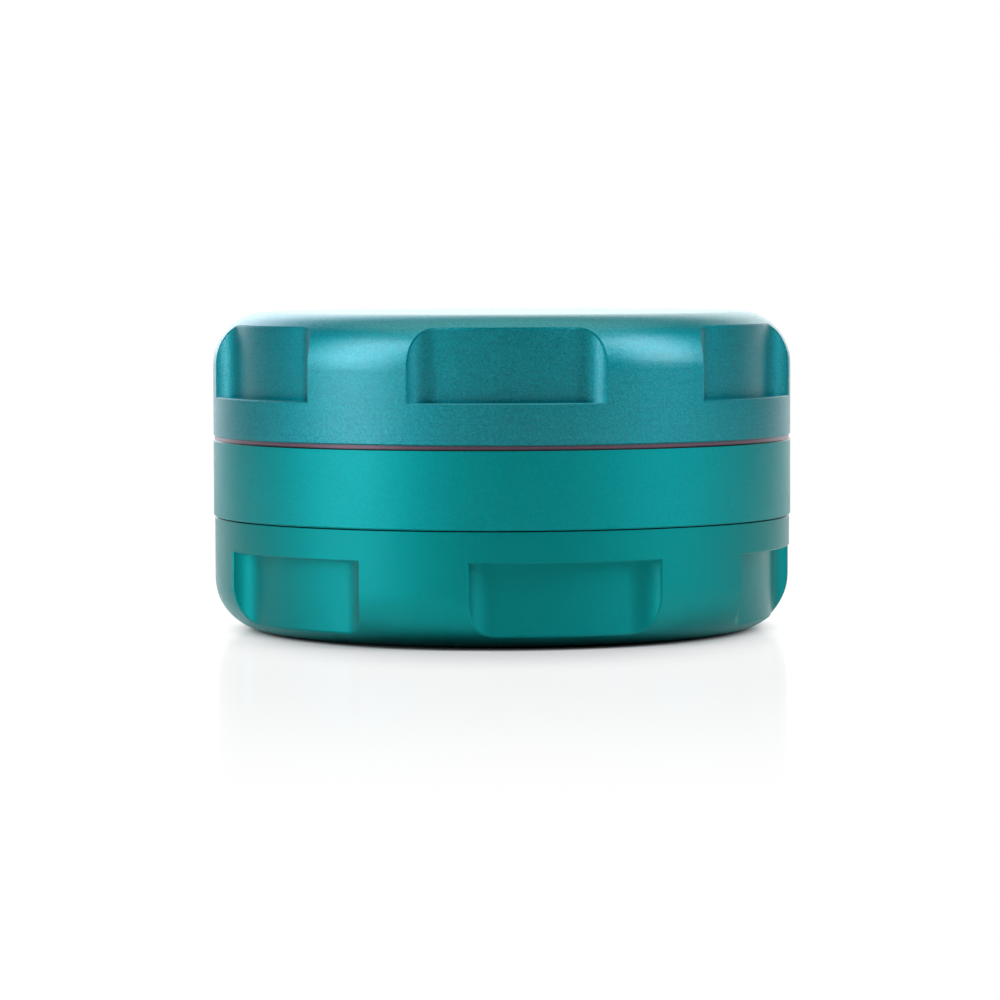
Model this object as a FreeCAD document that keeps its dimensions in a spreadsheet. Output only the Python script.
"""Three-tier hand grinder for dry herbs and spices, in millimetres, standing on z = 0.

The lid and the grinding chamber carry interleaved rings of teeth. A quarter turn of the lid cuts
what lies between them, the pieces fall through the chamber's floor into the base, and a sieve in
the base lets only the finest powder through. The chamber screws into the base.
"""
import FreeCAD, Part
import math
import os
import Sketcher
from FreeCAD import Placement, Rotation, Vector

# Driving dimensions, in millimetres and degrees
DIMENSIONS = {
    # Outside of the three tiers
    "body_radius": 31.5,
    "base_inset": 0.12,
    "base_height": 12.4,
    "chamber_height": 8.3,
    "lid_height": 13.4,
    "corner_radius": 5.65,
    "rim_break": 0.15,
    # Grip pockets, milled by an upright cutter that travels round the axis
    "pocket_count": 6,
    "pocket_depth": 1.95,
    "pocket_half_angle": 14.0,
    "cutter_radius": 3.0,
    "lid_band": 4.35,
    "base_band": 3.36,
    "lid_pocket_turn": 31.0,
    "base_pocket_turn": 42.6,
    "pocket_break": 0.12,
    # Lid, seen from below
    "lid_wall": 4.2,
    "lid_top": 3.2,
    "ceiling_fillet": 1.0,
    # Friction ring: a flange in the seam and a lip that locates it in the lid
    "ring_thickness": 0.4,
    "ring_inset": 0.15,
    "ring_lip": 0.6,
    "ring_lip_height": 1.6,
    "ring_play": 0.1,
    # Grinding chamber
    "lid_clearance": 0.3,
    "upstand_wall": 2.0,
    "upstand_height": 6.8,
    "floor_drop": 0.5,
    "floor_thickness": 2.6,
    "spigot_length": 4.7,
    "spigot_wall": 2.3,
    "spigot_play": 0.1,
    # Teeth and drop holes, in concentric lanes
    "tooth_width": 3.0,
    "tooth_length": 4.4,
    "tooth_taper": 2.0,
    "tooth_tip_gap": 0.8,
    "tooth_spacing": 14.0,
    "lane_gap": 0.6,
    "hole_radius": 1.7,
    "hole_spacing": 7.6,
    # Magnets in the two hubs
    "hub_radius": 5.6,
    "hub_gap": 0.4,
    "magnet_radius": 4.0,
    "magnet_thickness": 3.0,
    "magnet_play": 0.05,
    "magnet_break": 0.25,
    # Screw thread between chamber and base, right-handed
    "thread_wall": 4.1,
    "thread_pitch": 1.25,
    "thread_depth": 0.65,
    "thread_root": 0.7,
    "thread_crest": 0.3,
    "thread_lead": 0.3,
    "thread_play": 0.2,
    "thread_bite": 0.1,
    # Seal ring in the neck above the thread
    "seal_section": 1.0,
    "seal_step": 0.1,
    "seal_play": 0.1,
    # Base cup and its sieve
    "base_floor": 2.2,
    "well_fillet": 1.2,
    "seat_wall": 4.5,
    "ledge_width": 2.5,
    "sieve_play": 0.2,
    "sieve_thickness": 0.3,
    "frame_width": 1.8,
    "frame_height": 1.0,
    "clip_wire": 0.8,
    "clip_play": 0.03,
    "clip_gap_angle": 30.0,
    "groove_lip": 0.84,
}

# Sizes and heights that several pieces share, as expressions of the driving dimensions
BODY = "dims.body_radius"
BASE_BODY = "(dims.body_radius - dims.base_inset)"
BREAK = "dims.rim_break"
LID_BORE = "(dims.body_radius - dims.lid_wall)"
UPSTAND = f"({LID_BORE} - dims.lid_clearance)"
CHAMBER_BORE = f"({UPSTAND} - dims.upstand_wall)"
MAGNET_BORE = "(dims.magnet_radius + dims.magnet_play)"
LIP_OUTSIDE = f"({LID_BORE} + dims.ring_lip)"
THREAD_CORE = "(dims.body_radius - dims.thread_wall)"
THREAD_BORE = f"({THREAD_CORE} + dims.thread_depth + dims.thread_play)"
SPIGOT_BORE = f"({THREAD_CORE} - dims.spigot_wall)"
SEAL_DEPTH = "(dims.seal_section + 2 * dims.seal_play)"
SEAL_MOUTH = f"({THREAD_BORE} + dims.seal_step)"
SEAL_RING = f"({SEAL_MOUTH} - {SEAL_DEPTH} / 2)"
NECK = f"({SEAL_MOUTH} - {SEAL_DEPTH})"
SIEVE_SEAT = "(dims.body_radius - dims.seat_wall)"
SIEVE_EDGE = f"({SIEVE_SEAT} - dims.sieve_play)"
CLIP_GROOVE = "(dims.clip_wire + 2 * dims.clip_play)"
CAVITY = "(dims.floor_drop + dims.ring_thickness + dims.lid_height - dims.lid_top)"
HUB_HEIGHT = f"(({CAVITY} - dims.hub_gap) / 2)"
THREAD_START = "(dims.base_height - dims.spigot_length + dims.thread_lead + dims.thread_root / 2)"
THREAD_RISE = f"(dims.spigot_length - {SEAL_DEPTH} - 2 * dims.thread_lead - dims.thread_root)"
SHOULDER = "(dims.base_height + dims.chamber_height)"
LID_RIM = f"({SHOULDER} + dims.ring_thickness)"
CHAMBER_FLOOR = f"({SHOULDER} - dims.floor_drop)"
SPIGOT_STOP = "(dims.base_height - dims.spigot_length - dims.spigot_play)"
GROOVE_TOP = f"({SPIGOT_STOP} - dims.groove_lip)"
FRAME_TOP = f"({GROOVE_TOP} - {CLIP_GROOVE})"
SIEVE_LEDGE = f"({FRAME_TOP} - dims.frame_height - dims.sieve_thickness)"

# Two lengths closer than this are the same
SAME = 1e-5

doc = FreeCAD.newDocument("hand_grinder")


def make_sheet():
    """Writes the driving dimensions into a sheet, one named cell each."""
    sheet = doc.addObject("Spreadsheet::Sheet", "dims")
    for row, (name, size) in enumerate(DIMENSIONS.items(), start=1):
        sheet.set(f"A{row}", name)
        sheet.set(f"B{row}", str(size))
        sheet.setAlias(f"B{row}", name)
    doc.recompute()
    return sheet


sheet = make_sheet()


def number(expression):
    """The present value of an expression."""
    return float(sheet.evalExpression(expression.replace("dims.", "")))


def new_body(label, height="0"):
    """A body that stands at the given height on the common axis."""
    body = doc.addObject("PartDesign::Body", label)
    body.Label = label
    body.setExpression("Placement.Base.z", height)
    doc.recompute()
    return body


def origin_part(body, role):
    """One of the body's own axes or planes."""
    return next(part for part in body.Origin.OriginFeatures if part.Role == role)


def new_sketch(body, name, plane, height="0", turn="0"):
    """A sketch on one of the body's planes, lifted along and turned about the plane's normal."""
    sketch = body.newObject("Sketcher::SketchObject", name)
    sketch.AttachmentSupport = [(origin_part(body, plane), "")]
    sketch.MapMode = "FlatFace"
    sketch.AttachmentOffset = Placement(Vector(), Rotation(Vector(0, 0, 1), 0))
    sketch.setExpression("AttachmentOffset.Base.z", height)
    sketch.setExpression("AttachmentOffset.Rotation.Angle", turn)
    return sketch


def bind(sketch, constraint, expression):
    """Adds a dimension to a sketch and ties it to an expression."""
    index = sketch.addConstraint(constraint)
    sketch.setExpression(f"Constraints[{index}]", expression)


def pin(sketch, geometry, end, expression, kind):
    """Ties one coordinate of a point to an expression, measured from the sketch's origin."""
    axis = {"DistanceX": -2, "DistanceY": -1}[kind]
    size = number(expression)
    if abs(size) < SAME:
        sketch.addConstraint(Sketcher.Constraint("PointOnObject", geometry, end, axis))
    elif size > 0:
        bind(sketch, Sketcher.Constraint(kind, -1, 1, geometry, end, size), expression)
    else:
        bind(sketch, Sketcher.Constraint(kind, geometry, end, -1, 1, -size), f"-({expression})")


def arc_between(centre, start, stop):
    """The shorter arc about a centre, and whether it runs from start to stop."""
    first = math.atan2(start.y - centre.y, start.x - centre.x)
    last = math.atan2(stop.y - centre.y, stop.x - centre.x)
    forward = (last - first) % (2 * math.pi) < math.pi
    if not forward:
        first, last = last, first
    circle = Part.Circle(centre, Vector(0, 0, 1), start.distanceToPoint(centre))
    return Part.ArcOfCircle(circle, first, last), forward


def outline(sketch, corners):
    """Draws a closed outline. A corner is (x, y), and (x, y, centre) where an arc leaves it."""
    points = [Vector(number(corner[0]), number(corner[1]), 0) for corner in corners]
    ends = []
    for index, corner in enumerate(corners):
        start = points[index]
        stop = points[(index + 1) % len(points)]
        if len(corner) == 2:
            geometry = sketch.addGeometry(Part.LineSegment(start, stop), False)
            ends.append((geometry, 1, 2))
        else:
            centre = Vector(number(corner[2][0]), number(corner[2][1]), 0)
            arc, forward = arc_between(centre, start, stop)
            geometry = sketch.addGeometry(arc, False)
            ends.append((geometry, 1, 2) if forward else (geometry, 2, 1))
    for index, (geometry, start, stop) in enumerate(ends):
        following, following_start, _ = ends[(index + 1) % len(ends)]
        sketch.addConstraint(Sketcher.Constraint("Coincident", geometry, stop, following, following_start))
    for (geometry, start, _), corner in zip(ends, corners):
        pin(sketch, geometry, start, corner[0], "DistanceX")
        pin(sketch, geometry, start, corner[1], "DistanceY")
        if len(corner) == 3:
            pin(sketch, geometry, 3, corner[2][0], "DistanceX")


def revolved(body, name, corners):
    """Turns a half section, given as (radius, height) corners, about the body's axis."""
    sketch = new_sketch(body, f"{name}_section", "XZ_Plane")
    outline(sketch, corners)
    turned = body.newObject("PartDesign::Revolution", name)
    turned.Profile = sketch
    turned.ReferenceAxis = (origin_part(body, "Z_Axis"), [""])
    turned.Angle = 360
    doc.recompute()
    return turned


def around(body, feature, count):
    """Repeats a feature evenly about the body's axis."""
    pattern = body.newObject("PartDesign::PolarPattern", f"{feature.Name}_ring")
    pattern.Originals = [feature]
    pattern.Axis = (origin_part(body, "Z_Axis"), [""])
    pattern.Angle = 360
    pattern.setExpression("Occurrences", count)
    body.Tip = pattern
    doc.recompute()
    return pattern


def grew(body, before, sign, what):
    """Stops the build if a feature did not add or remove material as it should."""
    if (body.Shape.Volume - before) * sign <= 0:
        raise RuntimeError(f"{what} left {body.Label} unchanged")


def pocket_outline(sketch, skin):
    """The path of an upright cutter along an arc about the axis: two arcs joined by round ends."""
    half = math.radians(number("dims.pocket_half_angle"))
    inner = number(f"{skin} - dims.pocket_depth")
    cutter = number("dims.cutter_radius")
    normal = Vector(0, 0, 1)
    path = inner + cutter
    far_end = Vector(path * math.cos(half), path * math.sin(half), 0)
    near_end = Vector(far_end.x, -far_end.y, 0)
    wall, far, mouth, near = sketch.addGeometry([
        Part.ArcOfCircle(Part.Circle(Vector(), normal, inner), -half, half),
        Part.ArcOfCircle(Part.Circle(far_end, normal, cutter), half, half + math.pi),
        Part.ArcOfCircle(Part.Circle(Vector(), normal, path + cutter), -half, half),
        Part.ArcOfCircle(Part.Circle(near_end, normal, cutter), math.pi - half, 2 * math.pi - half),
    ], False)
    for arc in (wall, mouth):
        sketch.addConstraint(Sketcher.Constraint("Coincident", arc, 3, -1, 1))
    for one, one_end, other, other_end in ((wall, 2, far, 2), (far, 1, mouth, 2), (mouth, 1, near, 2),
                                           (near, 1, wall, 1)):
        sketch.addConstraint(Sketcher.Constraint("Tangent", one, one_end, other, other_end))
    bind(sketch, Sketcher.Constraint("Radius", wall, inner), f"{skin} - dims.pocket_depth")
    bind(sketch, Sketcher.Constraint("Radius", far, cutter), "dims.cutter_radius")
    reach = f"({skin} - dims.pocket_depth + dims.cutter_radius) * sin(dims.pocket_half_angle)"
    pin(sketch, far, 3, reach, "DistanceY")
    pin(sketch, near, 3, f"-{reach}", "DistanceY")


def pocket_rims(shape, radius, ledge):
    """Names of the edges where a pocket meets the outer skin."""
    def is_skin(face):
        surface = face.Surface
        rounded = isinstance(surface, Part.Toroid)
        return rounded or (isinstance(surface, Part.Cylinder) and abs(surface.Radius - radius) < SAME)

    def is_pocket(face):
        flat = isinstance(face.Surface, Part.Plane) and abs(face.CenterOfMass.z - ledge) < SAME
        return flat or (isinstance(face.Surface, Part.Cylinder) and not is_skin(face))

    names = []
    for index, edge in enumerate(shape.Edges, start=1):
        faces = shape.ancestorsOfType(edge, Part.Face)
        if any(is_skin(face) for face in faces) and any(is_pocket(face) for face in faces):
            names.append(f"Edge{index}")
    return names


def grip_pockets(body, name, skin, ledge, turn, upwards):
    """Mills the ring of pockets from a ledge to the rounded end, and breaks their edges."""
    before = body.Shape.Volume
    sketch = new_sketch(body, f"{name}_path", "XY_Plane", ledge, turn)
    pocket_outline(sketch, skin)
    pocket = body.newObject("PartDesign::Pocket", name)
    pocket.Profile = sketch
    pocket.Type = "ThroughAll"
    pocket.Reversed = upwards
    doc.recompute()
    ring = around(body, pocket, "dims.pocket_count")
    grew(body, before, -1, name)
    broken = body.newObject("PartDesign::Chamfer", f"{name}_edges")
    broken.Base = (ring, pocket_rims(ring.Shape, number(skin), number(ledge)))
    broken.setExpression("Size", "dims.pocket_break")
    doc.recompute()


def lanes():
    """Radii of the tooth lanes from the wall inwards, as expressions, as many as the hub leaves room for."""
    outer = f"(min({CHAMBER_BORE}; {SPIGOT_BORE}) - dims.lane_gap - dims.tooth_width / 2)"
    pitch = "(dims.tooth_width + dims.lane_gap)"
    room = number(f"{outer} - dims.hub_radius - dims.lane_gap - dims.tooth_width / 2")
    return [f"({outer} - {lane} * {pitch})" for lane in range(int(room / number(pitch)) + 1)]


def ring_count(lane, spacing):
    """How many repeats fit round a lane at about the given spacing, as an expression."""
    return f"max(3; round(2 * pi * {lane} / {spacing}))"


def tooth_ring(body, name, lane, height, length, downwards):
    """A lane of diamond teeth, narrower at the tip, with a gap between two of them on the -X side."""
    before = body.Shape.Volume
    count = ring_count(lane, "dims.tooth_spacing")
    sketch = new_sketch(body, f"{name}_plan", "XY_Plane", height, f"180 + 180 / {count}")
    outline(sketch, [
        (f"{lane} - dims.tooth_width / 2", "0"),
        (lane, "-dims.tooth_length / 2"),
        (f"{lane} + dims.tooth_width / 2", "0"),
        (lane, "dims.tooth_length / 2"),
    ])
    tooth = body.newObject("PartDesign::Pad", name)
    tooth.Profile = sketch
    tooth.Reversed = downwards
    tooth.setExpression("Length", length)
    tooth.setExpression("TaperAngle", "-dims.tooth_taper")
    doc.recompute()
    around(body, tooth, count)
    grew(body, before, 1, name)


def hole_ring(body, name, lane, height):
    """A lane of drop holes through the chamber's floor."""
    before = body.Shape.Volume
    sketch = new_sketch(body, f"{name}_plan", "XY_Plane", height)
    circle = Part.Circle(Vector(number(lane), 0, 0), Vector(0, 0, 1), number("dims.hole_radius"))
    hole = sketch.addGeometry(circle, False)
    bind(sketch, Sketcher.Constraint("Radius", hole, number("dims.hole_radius")), "dims.hole_radius")
    pin(sketch, hole, 3, lane, "DistanceX")
    pin(sketch, hole, 3, "0", "DistanceY")
    drop = body.newObject("PartDesign::Pocket", name)
    drop.Profile = sketch
    drop.Type = "ThroughAll"
    doc.recompute()
    around(body, drop, ring_count(lane, "dims.hole_spacing"))
    grew(body, before, -1, name)


def thread_ridge(body, name, root, crest, start):
    """A helical ridge of trapezoid section between two radii; a minus sign starts it half a turn on."""
    before = body.Shape.Volume
    sketch = new_sketch(body, f"{name}_section", "XZ_Plane")
    outline(sketch, [
        (root, f"{start} - dims.thread_root / 2"),
        (crest, f"{start} - dims.thread_crest / 2"),
        (crest, f"{start} + dims.thread_crest / 2"),
        (root, f"{start} + dims.thread_root / 2"),
    ])
    doc.recompute()
    ridge = body.newObject("PartDesign::AdditiveHelix", name)
    ridge.Profile = sketch
    ridge.ReferenceAxis = (origin_part(body, "Z_Axis"), [""])
    ridge.Mode = "pitch-height-angle"
    ridge.setExpression("Pitch", "dims.thread_pitch")
    ridge.setExpression("Height", THREAD_RISE)
    doc.recompute()
    grew(body, before, 1, name)


def make_lid():
    """The turned cup with a rounded shoulder, a hub for its magnet, teeth and grip pockets."""
    body = new_body("lid", LID_RIM)
    top = "dims.lid_height"
    ceiling = "(dims.lid_height - dims.lid_top)"
    hub_end = f"({ceiling} - {HUB_HEIGHT})"
    rebate = f"({LIP_OUTSIDE} + dims.ring_play)"
    rebate_top = "(dims.ring_lip_height + dims.ring_play)"
    corner = f"({BODY} - dims.corner_radius)"
    inside_corner = f"({LID_BORE} - dims.ceiling_fillet)"
    below_ceiling = f"({ceiling} - dims.ceiling_fillet)"
    revolved(body, "lid_blank", [
        ("0", top),
        (corner, top, (corner, f"{top} - dims.corner_radius")),
        (BODY, f"{top} - dims.corner_radius"),
        (BODY, BREAK),
        (f"{BODY} - {BREAK}", "0"),
        (rebate, "0"),
        (rebate, rebate_top),
        (LID_BORE, rebate_top),
        (LID_BORE, below_ceiling, (inside_corner, below_ceiling)),
        (inside_corner, ceiling),
        ("dims.hub_radius", ceiling),
        ("dims.hub_radius", f"{hub_end} + {BREAK}"),
        (f"dims.hub_radius - {BREAK}", hub_end),
        (MAGNET_BORE, hub_end),
        (MAGNET_BORE, f"{hub_end} + dims.magnet_thickness"),
        ("0", f"{hub_end} + dims.magnet_thickness"),
    ])
    for index, lane in enumerate(lanes()[0::2], start=1):
        tooth_ring(body, f"lid_teeth_{index}", lane, ceiling, f"{CAVITY} - dims.tooth_tip_gap", True)
    grip_pockets(body, "lid_pocket", BODY, "dims.lid_band", "dims.lid_pocket_turn", True)
    return body


def make_chamber():
    """The middle tier: an upstand inside the lid, a pierced floor with teeth, and a threaded spigot."""
    body = new_body("grinding_chamber", "dims.base_height")
    shoulder = "dims.chamber_height"
    upstand_top = f"({shoulder} + dims.upstand_height)"
    floor = f"({shoulder} - dims.floor_drop)"
    underside = f"({floor} - dims.floor_thickness)"
    hub_top = f"({floor} + {HUB_HEIGHT})"
    foot = "-dims.spigot_length"
    revolved(body, "chamber_blank", [
        ("0", underside),
        (SPIGOT_BORE, underside),
        (SPIGOT_BORE, foot),
        (f"{THREAD_CORE} - dims.thread_lead", foot),
        (THREAD_CORE, f"{foot} + dims.thread_lead"),
        (THREAD_CORE, f"-{SEAL_DEPTH}"),
        (NECK, f"-{SEAL_DEPTH}"),
        (NECK, "0"),
        (f"{BODY} - {BREAK}", "0"),
        (BODY, BREAK),
        (BODY, f"{shoulder} - {BREAK}"),
        (f"{BODY} - {BREAK}", shoulder),
        (UPSTAND, shoulder),
        (UPSTAND, f"{upstand_top} - {BREAK}"),
        (f"{UPSTAND} - {BREAK}", upstand_top),
        (f"{CHAMBER_BORE} + {BREAK}", upstand_top),
        (CHAMBER_BORE, f"{upstand_top} - {BREAK}"),
        (CHAMBER_BORE, floor),
        ("dims.hub_radius", floor),
        ("dims.hub_radius", f"{hub_top} - {BREAK}"),
        (f"dims.hub_radius - {BREAK}", hub_top),
        (MAGNET_BORE, hub_top),
        (MAGNET_BORE, f"{hub_top} - dims.magnet_thickness"),
        ("0", f"{hub_top} - dims.magnet_thickness"),
    ])
    for index, lane in enumerate(lanes()[1::2], start=1):
        tooth_ring(body, f"chamber_teeth_{index}", lane, floor, f"{CAVITY} - dims.tooth_tip_gap", False)
    for index, lane in enumerate(lanes()[0::2], start=1):
        hole_ring(body, f"drop_holes_{index}", lane, floor)
    start = f"({THREAD_START} - dims.base_height)"
    inside = f"({THREAD_CORE} - dims.thread_bite)"
    thread_ridge(body, "outer_thread", inside, f"({THREAD_CORE} + dims.thread_depth)", start)
    return body


def make_base():
    """The cup at the bottom: a rounded foot, a seat for the sieve and an inner thread."""
    body = new_body("base")
    top = "dims.base_height"
    corner = f"({BASE_BODY} - dims.corner_radius)"
    seal_seat = f"({top} - {SEAL_DEPTH})"
    groove = f"({SIEVE_SEAT} + dims.clip_wire / 2 + dims.clip_play)"
    well = f"({SIEVE_SEAT} - dims.ledge_width)"
    fillet = f"min(dims.well_fillet; 0.6 * ({SIEVE_LEDGE} - dims.base_floor))"
    floor_edge = f"({well} - {fillet})"
    above_floor = f"(dims.base_floor + {fillet})"
    revolved(body, "base_blank", [
        ("0", "0"),
        (corner, "0", (corner, "dims.corner_radius")),
        (BASE_BODY, "dims.corner_radius"),
        (BASE_BODY, f"{top} - {BREAK}"),
        (f"{BASE_BODY} - {BREAK}", top),
        (SEAL_MOUTH, top),
        (SEAL_MOUTH, seal_seat),
        (THREAD_BORE, seal_seat),
        (THREAD_BORE, SPIGOT_STOP),
        (SIEVE_SEAT, SPIGOT_STOP),
        (SIEVE_SEAT, GROOVE_TOP),
        (groove, GROOVE_TOP),
        (groove, FRAME_TOP),
        (SIEVE_SEAT, FRAME_TOP),
        (SIEVE_SEAT, SIEVE_LEDGE),
        (well, SIEVE_LEDGE),
        (well, above_floor, (floor_edge, above_floor)),
        (floor_edge, "dims.base_floor"),
        ("0", "dims.base_floor"),
    ])
    ledge = "dims.base_height - dims.base_band"
    grip_pockets(body, "base_pocket", BASE_BODY, ledge, "dims.base_pocket_turn", False)
    outside = f"-({THREAD_BORE} + dims.thread_bite)"
    thread_ridge(body, "inner_thread", outside, f"-({THREAD_BORE} - dims.thread_depth)", THREAD_START)
    return body


def make_friction_ring():
    """The thin polymer ring that the lid turns on: a flange in the seam and a lip inside the lid."""
    body = new_body("friction_ring", SHOULDER)
    flange = "dims.ring_thickness"
    rim = f"({BODY} - dims.ring_inset)"
    lip_top = f"({flange} + dims.ring_lip_height)"
    revolved(body, "ring_blank", [
        (LID_BORE, "0"),
        (rim, "0"),
        (rim, flange),
        (LIP_OUTSIDE, flange),
        (LIP_OUTSIDE, lip_top),
        (LID_BORE, lip_top),
    ])
    return body


def make_magnet(label, height):
    """A nickel-plated disc with broken edges."""
    body = new_body(label, height)
    radius = "dims.magnet_radius"
    thickness = "dims.magnet_thickness"
    edge = "dims.magnet_break"
    revolved(body, f"{label}_disc", [
        ("0", "0"),
        (f"{radius} - {edge}", "0"),
        (radius, edge),
        (radius, f"{thickness} - {edge}"),
        (f"{radius} - {edge}", thickness),
        ("0", thickness),
    ])
    return body


def make_seal():
    """The rubber ring round the chamber's neck, above the thread."""
    seal = doc.addObject("Part::Torus", "thread_seal")
    seal.setExpression("Radius1", SEAL_RING)
    seal.setExpression("Radius2", "dims.seal_section / 2")
    seal.setExpression("Placement.Base.z", f"dims.base_height - {SEAL_DEPTH} / 2")
    return seal


def make_sieve_mesh():
    """The disc of wire cloth, as a plain disc of its thickness."""
    disc = doc.addObject("Part::Cylinder", "sieve_mesh")
    disc.setExpression("Radius", SIEVE_EDGE)
    disc.setExpression("Height", "dims.sieve_thickness")
    disc.setExpression("Placement.Base.z", SIEVE_LEDGE)
    return disc


def make_sieve_frame():
    """The flat ring that holds the cloth down on its ledge."""
    body = new_body("sieve_frame", f"{SIEVE_LEDGE} + dims.sieve_thickness")
    inner = f"({SIEVE_EDGE} - dims.frame_width)"
    height = "dims.frame_height"
    revolved(body, "frame_ring", [
        (inner, "0"),
        (SIEVE_EDGE, "0"),
        (SIEVE_EDGE, f"{height} - {BREAK}"),
        (f"{SIEVE_EDGE} - {BREAK}", height),
        (f"{inner} + {BREAK}", height),
        (inner, f"{height} - {BREAK}"),
    ])
    return body


def make_sieve_clip():
    """The open ring of spring wire that snaps into its groove over the frame."""
    clip = doc.addObject("Part::Torus", "sieve_clip")
    clip.setExpression("Radius1", SIEVE_SEAT)
    clip.setExpression("Radius2", "dims.clip_wire / 2")
    clip.setExpression("Angle3", "360 - dims.clip_gap_angle")
    clip.setExpression("Placement.Base.z", f"{FRAME_TOP} + {CLIP_GROOVE} / 2")
    return clip


def make_parts():
    """All sub-parts, from the base up."""
    lid_magnet_height = f"{LID_RIM} + dims.lid_height - dims.lid_top - {HUB_HEIGHT}"
    chamber_magnet_height = f"{CHAMBER_FLOOR} + {HUB_HEIGHT} - dims.magnet_thickness"
    return [
        make_base(),
        make_sieve_mesh(),
        make_sieve_frame(),
        make_sieve_clip(),
        make_seal(),
        make_chamber(),
        make_magnet("chamber_magnet", chamber_magnet_height),
        make_friction_ring(),
        make_lid(),
        make_magnet("lid_magnet", lid_magnet_height),
    ]


def check(parts):
    """Stops before anything is written if an object failed or a shape is not one sound solid."""
    for item in doc.Objects:
        if "Invalid" in item.State or "Error" in item.State:
            raise RuntimeError(f"{item.Label} failed: {item.State}")
    for part in parts:
        shape = part.Shape
        if shape.isNull() or not shape.isValid() or len(shape.Solids) != 1:
            raise RuntimeError(f"{part.Label} is not one valid solid")
        box = shape.BoundBox
        print(f"{part.Label}: {shape.Volume:.1f} mm3, from z {box.ZMin:.2f} to {box.ZMax:.2f}")


parts = make_parts()
doc.recompute()
check(parts)
os.makedirs("parts", exist_ok=True)
for part in parts:
    part.Shape.exportStep(f"parts/{part.Label}.step")
